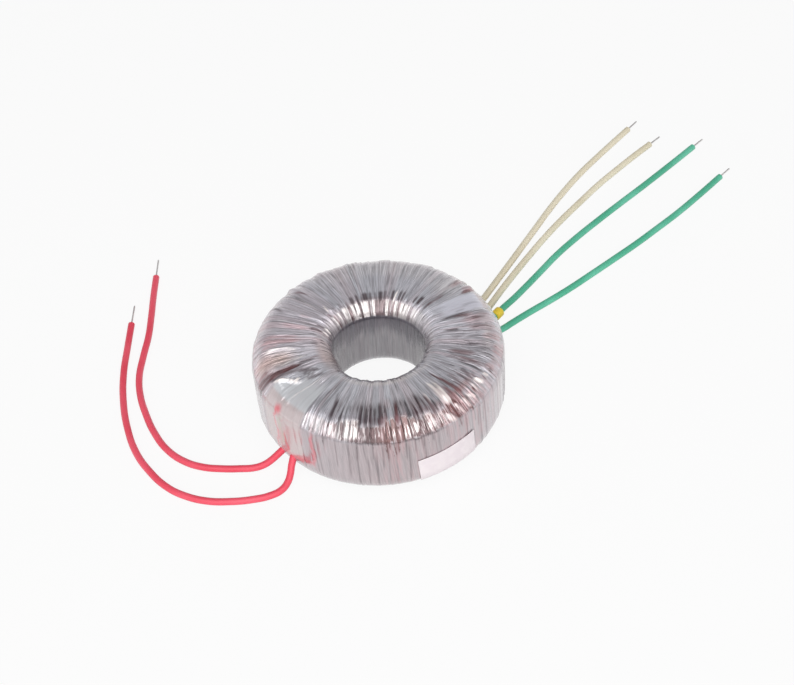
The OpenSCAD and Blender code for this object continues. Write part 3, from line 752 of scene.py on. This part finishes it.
def colour_of(spot, height):
    """The colour that the film shows at one spot, with its painted highlights and shade."""
    along, radius, tilt, dark, near = spot.along, spot.radius, spot.tilt, spot.turn.dark, spot.near
    front, back, clear, wall, outer = spot.front, spot.back, spot.clear, spot.wall, spot.outer
    shine = min(1.4 * spot.shiny, 1)
    beige = 0.8 * near(192, 9) * ease(16, 21, along) * (1 - ease(27, 34, along))
    # The hole is painted in shade, darkest at its top, down to a ragged border.
    ragged = 17 + 3 * (dark - 0.5) - 2.5 * (near(122, 28) + near(45, 25))
    deep = max(ease(ragged - 3, ragged + 4, height), 0.3 * dark ** 2)
    smooth = SMOOTH if spot.azimuth > 90 else SMOOTH_BACK
    beside_gap = tilt > 20 and 205 < spot.azimuth < 242
    green, red = leads_below(spot.azimuth, height) if beside_gap else (0, 0)
    # The turns' edges are fine dark lines of painted shadow, and many end some way down the wall.
    line = spot.edge_turn.edge ** (0.8 + 0.6 * wall) * hump(spot.from_edge, 0, 0.55)
    line *= (1 - 0.8 * clear) * (1 - spot.blister) * (1 - 0.6 * spot.calm)
    foot = 3 + 18 * spot.edge_turn.dark
    line *= 1 - 0.75 * wall * (1 - ease(foot - 5, foot + 3, height))
    line *= 1 - 0.8 * wall * near(346, 30)
    # Painted shade along the crease where the shoulder turns into the wall.
    crease = hump(tilt, CREASE_TILT - 2 + spot.turn.crease, 6) * near(270, 60) * (1 - clear)
    return coated(HAZE, [
        (WARM_HAZE, 0.6 * spot.flush + 0.2 * dark ** 3 + 0.12 * near(168, 55)),
        # Painted reflection: the back of the face is lighter towards its outer edge.
        (GLOSSY, 0.3 * near(80, 75) * ease(26, 31, radius) * (tilt > -20)),
        # Painted highlight in blocks on the front outer and back inner shoulders, with painted shade between
        # them.
        (GLOSSY, shine * spot.gloss),
        (DULL, 0.85 * shine * (1 - spot.gloss)),
        # Painted highlight on the shoulders at the sides.
        (GLOSSY, 0.15 * outer * (1 - front) + 0.2 * spot.inner * (1 - back)),
        # Painted shade on the face in front, just above the shoulder.
        (FOLD, 0.5 * front * hump(along, 27, 6) * (0.25 + 0.75 * dark) * (1 - clear)),
        (FOLD, 0.52 * spot.shade),
        (BEIGE, max(beige, 0.5 * near(198, 36) * ease(8, 35, -tilt))),
        # Darker on the right, and painted shade on the right-front shoulder, on the band above it, and on the
        # bands above the inner highlights at the back and the left.
        (DULL, 0.18 * near(348, 30) + 0.4 * outer * near(316, 22)),
        (DULL, 0.8 * near(314, 24) * hump(tilt, 14, 16)),
        (DULL, 0.45 * back * hump(tilt, -28, 11) + 0.2 * near(180, 40) * hump(tilt, -28, 30)),
        # Painted highlight on the right shoulder.
        (GLOSSY, 0.3 * near(0, 28) * hump(tilt, 20, 20)),
        (WARM_HAZE, 0.2 * near(185, 35) * hump(tilt, 22, 22)),
        # Painted shade on the back, from the shoulder down.
        (WALL_HAZE, 0.4 * near(90, 80) * ease(2, 20, tilt)),
        # Painted highlight on the face over the secondaries' gap and at the hole's near rim.
        (GLOSSY, 0.25 * near(42, 12) * ease(24, 30, radius) + 0.7 * front * hump(tilt, -15, 19)),
        # Painted shade on the wall, most at the front.
        (WALL_HAZE, wall * (0.6 + 0.3 * front)),
        # Painted shade in the hole.
        (coated(HOLE_FOOT, [(HOLE_TOP, deep)]), 0.9 * spot.hole),
        (coated(smooth, [(SMOOTH_WALL, ease(28, 38, tilt))]), 0.9 * clear),
        (GREEN_BELOW, green),
        (RED_BELOW, 0.9 * red),
        (BLISTER, spot.blister),
        (TURN_EDGE, line * (0.35 + 0.65 * wall - 0.1 * spot.hole)),
        (CREASE, (0.45 + 0.5 * dark) * crease),
        (FOLD, 0.9 * spot.fold),
        (COPPER_FOLD, 0.85 * spot.copper),
    ])


def lay_of(spot, height):
    """How taut the film lies on the wire, with painted shade in dark dashes above and on the
    shoulders' highlights, how warm the copper shows, how strong the streaks are, and how much
    like a mirror the film is, each from 0 to about 1."""
    radius, tilt, turn, near, front = spot.radius, spot.tilt, spot.turn, spot.near, spot.front
    wall, hole, outer, clear, gloss = spot.wall, spot.hole, spot.outer, spot.clear, spot.gloss
    tight = 0.25 * ease(25, 32, radius) * front + 0.2 * turn.dark ** 2
    # Painted shade: more dashes in bands above the shoulders' highlights.
    tight += 0.25 * hump(tilt, 20 + turn.reach, 30) * (0.3 + 0.7 * front)
    tight += 0.25 * hump(tilt, -14 + turn.reach, 20) * (0.4 + 0.6 * spot.back)
    tight += 0.3 * max(near(345, 45), near(5, 14)) * ease(21, 26, radius)
    tight *= 1 - ease(66, 80, abs(tilt))
    # Painted shade: dark dashes that break up the front outer highlight, more in its duller blocks.
    tight += (0.8 - 0.45 * gloss) * outer * front * (1 - 0.8 * spot.calm)
    tight += 0.35 * spot.inner + 0.6 * front * wall * hump(height, 22, 8)
    tight += 0.4 * near(271, 13) * ease(60, 75, tilt) * ease(8, 22, height)
    tight = min(tight, 1.0) * (1 - 0.9 * clear) * (1 - spot.blister) * (1 - 0.5 * wall) * (1 - hole)
    warm = 0.1 + 0.6 * near(312, 36) * ease(25, 34, radius) + spot.flush
    warm += 0.7 * near(275, 14) * ease(31, 35, radius) + 0.35 * outer
    grain = (0.6 - 0.4 * wall - 0.15 * hole) * (1 - 0.88 * clear)
    grain *= (1 - 0.5 * spot.blister) * (1 - 0.6 * spot.calm) * (1 - 0.75 * gloss * min(spot.shiny, 1))
    grain += 0.6 * (1 - gloss) * outer * front
    grain *= 1 + 0.45 * front + 0.35 * near(316, 24) * (tilt < 60)
    grain *= 1 - 0.5 * wall * near(346, 30)
    mirror = 0.55 - 0.15 * wall - 0.1 * hole - 0.3 * clear
    mirror -= 0.35 * spot.blister + 0.25 * spot.fold + 0.3 * spot.shade
    return tight, min(warm, 1.0), grain, max(mirror, 0.1)


section = bmesh.new()
corners = [section.verts.new((x, 0, z)) for x, z in
           ((HOLE_R, 0), (HOLE_R, BODY_H), (OUTER_R, BODY_H), (OUTER_R, 0))]
section.faces.new(corners)
fillets = (HOLE_FILLET, HOLE_FILLET, OUTER_FILLET, OUTER_FILLET)
for corner, fillet, cuts in zip(corners, fillets, (6, 20, 30, 10)):
    bmesh.ops.bevel(section, geom=[corner], offset=fillet, segments=cuts, profile=0.5,
                    affect="VERTICES", material=-1)
bmesh.ops.delete(section, geom=section.faces[:], context="FACES_ONLY")
LONGEST_EDGE, EDGE_STEP = 5, 1.05
for edge in [e for e in section.edges if e.calc_length() > LONGEST_EDGE]:
    bmesh.ops.subdivide_edges(section, edges=[edge], cuts=int(edge.calc_length() / EDGE_STEP))
along_layer = section.verts.layers.float.new("along")
tilt_layer = section.verts.layers.float.new("tilt")
for vertex in section.verts:
    vertex[along_layer], vertex[tilt_layer] = place_on_section(vertex.co.x, vertex.co.z)
# One sector of 30 steps, then 23 copies of it, merged.
bmesh.ops.spin(section, geom=section.verts[:] + section.edges[:], cent=(0, 0, 0), axis=(0, 0, 1),
               angle=math.radians(15), steps=30)
bmesh.ops.spin(section, geom=section.verts[:] + section.edges[:] + section.faces[:], cent=(0, 0, 0),
               axis=(0, 0, 1), angle=math.radians(345), steps=23, use_duplicate=True)
bmesh.ops.remove_doubles(section, verts=section.verts, dist=0.001)
bmesh.ops.recalc_face_normals(section, faces=section.faces[:])

winding, tints, lays = [], [], []
for vertex in section.verts:
    spot = read_spot(vertex)
    way, b = math.radians(spot.tilt), math.radians(spot.shifted)
    vertex.co += raised(spot) * Vector((math.sin(way) * math.cos(spot.a),
                                        math.sin(way) * math.sin(spot.a), math.cos(way)))
    vertex.co.z = max(vertex.co.z, 0.0)
    winding.append((OUTER_R * math.cos(b), OUTER_R * math.sin(b), 0.1 * ((spot.along + ARC_OUT) % LOOP)))
    tints.append(colour_of(spot, vertex.co.z))
    lays.append(lay_of(spot, vertex.co.z))
bmesh.ops.scale(section, vec=(MM, MM, MM), verts=section.verts)

# Polyester film over enamelled copper: a hazy grey skin, with purple-brown streaks where
# it lies tight on the wire. Its many thin layers together reflect like a weak mirror.
# Its colour, given point by point, also holds painted highlights and painted shade.
FINE_MM, MIDDLE_MM, BROAD_MM, DASH_MM, RELIEF_MM = 0.42, 1.3, 4.5, 0.8, 0.7
film_finish, tree, at = new_material("wound_polyester_film")
spot = node(tree, "Attribute", out="Vector", attribute_name="winding")
tinted = node(tree, "Attribute", out="Color", attribute_name="tint")
laid = node(tree, "Attribute", attribute_name="lay")
tight, warm, grain = node(tree, "SeparateColor", {0: laid.outputs["Color"]}).outputs[:3]
streak = {}
for name, width, stretch, detail in (("fine", FINE_MM, 0.5, 2.0), ("middle", MIDDLE_MM, 0.9, 3.0),
                                     ("broad", BROAD_MM, 0.6, 2.0), ("dash", DASH_MM, 1.3, 4.0)):
    # Noise drawn out along the turns, a given number of mm wide at the outer wall.
    drawn = node(tree, "VectorMath", {0: spot, 1: (1, 1, stretch)}, 0, operation="MULTIPLY")
    streak[name] = node(tree, "TexNoise", {"Vector": drawn, "Scale": 1 / width, "Detail": detail,
                                           "Roughness": 0.6}, "Fac")
# Light and dark streaks: each noise moves the brightness up and down around 1.
brightness = 1.0
for name, share in (("fine", 2.6), ("middle", 0.6), ("broad", 0.5)):
    swing = node(tree, "Math", {0: streak[name], 1: 0.5}, 0, operation="SUBTRACT")
    swing = node(tree, "Math", {0: swing, 1: grain}, 0, operation="MULTIPLY")
    brightness = node(tree, "Math", {0: swing, 1: share, 2: brightness}, 0, operation="MULTIPLY_ADD")
colour = node(tree, "VectorMath", {0: tinted, "Scale": brightness}, 0, operation="SCALE")
# The flushes break up into streaks of their own.
pink = node(tree, "MapRange", {0: streak["middle"], 1: 0.42, 2: 0.62, 4: 0.6}, 0)
pink = node(tree, "Math", {0: pink, 1: warm}, 0, operation="MULTIPLY")
colour = node(tree, "Mix", {0: pink, 6: colour, 7: srgb("#c99fa3")}, 2, data_type="RGBA")
# Copper shows in dashes, more of them where the film is taut, and more in the painted shade
# above and on the shoulders' highlights.
start = node(tree, "Math", {0: tight, 1: -0.36, 2: 0.72}, 0, operation="MULTIPLY_ADD")
end = node(tree, "Math", {0: start, 1: 0.08}, 0, operation="ADD")
shows = node(tree, "MapRange", {0: streak["dash"], 1: start, 2: end, 4: 0.85}, 0,
             interpolation_type="SMOOTHSTEP")
copper = node(tree, "Mix", {0: warm, 6: srgb("#453c45"), 7: srgb("#6b3a37")}, 2, data_type="RGBA")
colour = node(tree, "Mix", {0: shows, 6: colour, 7: copper}, 2, data_type="RGBA")
relief = node(tree, "Math", {0: streak["fine"], 1: 0.7, 2: streak["middle"]}, 0,
              operation="MULTIPLY_ADD")
relief = node(tree, "Math", {0: relief, 1: grain}, 0, operation="MULTIPLY")
surface(tree, colour, 0.17, relief, RELIEF_MM * MM, metallic=laid.outputs["Alpha"], ior=1.65,
        coat_weight=0.5, coat_roughness=0.06, coat_ior=1.65)
film = piece("film_turns", section, film_finish, "wrapping_film", "outer_wrap")
at_points = film.data.attributes.new("winding", "FLOAT_VECTOR", "POINT")
at_points.data.foreach_set("vector", [value for place in winding for value in place])
for name, values in (("tint", tints), ("lay", lays)):
    at_points = film.data.attributes.new(name, "FLOAT_COLOR", "POINT")
    at_points.data.foreach_set("color", [value for four in values for value in four])

# ---------- label
# Coated white paper over 0.1 mm thick, stuck by hand a little askew on the film and pressed
# round onto the lower shoulder. One corner has begun to lift.
LABEL_AZ, LABEL_Z, LABEL_W, LABEL_H, LABEL_TILT = 299.0, 9.6, 20.5, 10.5, 4.5
PAPER_T, LABEL_LIFT = 0.12, 0.2
LABEL_R = OUTER_R + LABEL_LIFT
sticker = bmesh.new()
bmesh.ops.create_grid(sticker, x_segments=48, y_segments=24, size=0.5)
bmesh.ops.scale(sticker, vec=(LABEL_W, LABEL_H, 1), verts=sticker.verts)
askew = Matrix.Rotation(math.radians(LABEL_TILT), 3, "Z")
bmesh.ops.rotate(sticker, cent=(0, 0, 0), matrix=askew, verts=sticker.verts)
for vertex in sticker.verts:
    x, y, z = vertex.co
    curl = 0.12 * ease(0.75, 1.0, x / LABEL_W + y / LABEL_H)
    curl += 0.02 * math.sin(1.3 * x) * math.cos(0.9 * y)
    a = math.radians(LABEL_AZ) + x / LABEL_R
    radius, height = LABEL_R + curl, LABEL_Z + y
    if height < OUTER_FILLET:
        bend, bend_r = (OUTER_FILLET - height) / OUTER_FILLET, OUTER_FILLET + LABEL_LIFT + curl
        radius = OUTER_EDGE + bend_r * math.cos(bend)
        height = OUTER_FILLET - bend_r * math.sin(bend)
    vertex.co = (radius * math.cos(a), radius * math.sin(a), height)
# The faces are turned towards the ring, so that the paper's thickness grows away from it.
bmesh.ops.recalc_face_normals(sticker, faces=sticker.faces[:])
if sum(face.normal.xy.dot(face.calc_center_median().xy) for face in sticker.faces) > 0:
    bmesh.ops.reverse_faces(sticker, faces=sticker.faces[:])
bmesh.ops.solidify(sticker, geom=sticker.faces[:], thickness=PAPER_T)
bmesh.ops.scale(sticker, vec=(MM, MM, MM), verts=sticker.verts)
paper = two_tone("coated_label_paper", "#e9dfe3", "#ede4e7", 3, 0.7, 0.02, 0.55, ior=1.5)
piece("paper_label", sticker, paper, "label_paper", "label")

# ---------- table and light
# A plain white table top under one large softbox at the camera's side, in a pale room
# that is brighter near the horizon.
table_mesh = bmesh.new()
bmesh.ops.create_grid(table_mesh, x_segments=1, y_segments=1, size=12.0)
table_data = bpy.data.meshes.new("table_top")
table_mesh.to_mesh(table_data)
table_mesh.free()
table_top = bpy.data.objects.new("table_top", table_data)
scene.collection.objects.link(table_top)
table_top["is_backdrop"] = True
white, tree, at = new_material("white_laminate")
lit = node(tree, "BsdfPrincipled", {"Base Color": (0.78, 0.78, 0.78, 1), "Roughness": 0.7}, 0)
plain = node(tree, "Emission", {"Strength": 1.0}, 0)
ray = node(tree, "LightPath")
seen = ray.outputs["Is Camera Ray"]
for kind in ("Is Glossy Ray", "Is Transmission Ray"):
    seen = node(tree, "Math", {0: seen, 1: ray.outputs[kind]}, 0, operation="MAXIMUM")
share = node(tree, "Math", {0: seen, 1: 0.9}, 0, operation="MULTIPLY")
node(tree, "OutputMaterial", {"Surface": node(tree, "MixShader", {0: share, 1: lit, 2: plain}, 0)})
table_data.materials.append(white)

world = bpy.data.worlds.new("studio")
world.use_nodes = True
scene.world = world
tree = world.node_tree
tree.nodes.clear()
way = node(tree, "TexCoord", out="Generated")
rise = node(tree, "SeparateXYZ", {0: way}, 2)
level = node(tree, "Math", {0: rise}, 0, operation="ABSOLUTE")
low = node(tree, "Math", {0: 1.0, 1: level}, 0, operation="SUBTRACT")
low = node(tree, "Math", {0: low, 1: 2.0}, 0, operation="POWER")
strength = node(tree, "Math", {0: low, 1: 0.7, 2: 0.2}, 0, operation="MULTIPLY_ADD")
room = node(tree, "Background", {"Color": (1, 1, 1, 1), "Strength": strength}, 0)
node(tree, "OutputWorld", {"Surface": room})

softbox_data = bpy.data.lights.new("softbox", "AREA")
softbox_data.shape = "RECTANGLE"
softbox_data.size, softbox_data.size_y = 1.15, 1.1
softbox_data.energy = 7.6
softbox = bpy.data.objects.new("softbox", softbox_data)
softbox.location = (0.0, -0.53, 0.6)
softbox.rotation_euler = (-Vector(softbox.location)).to_track_quat("-Z", "Y").to_euler()
scene.collection.objects.link(softbox)

visual_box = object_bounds()
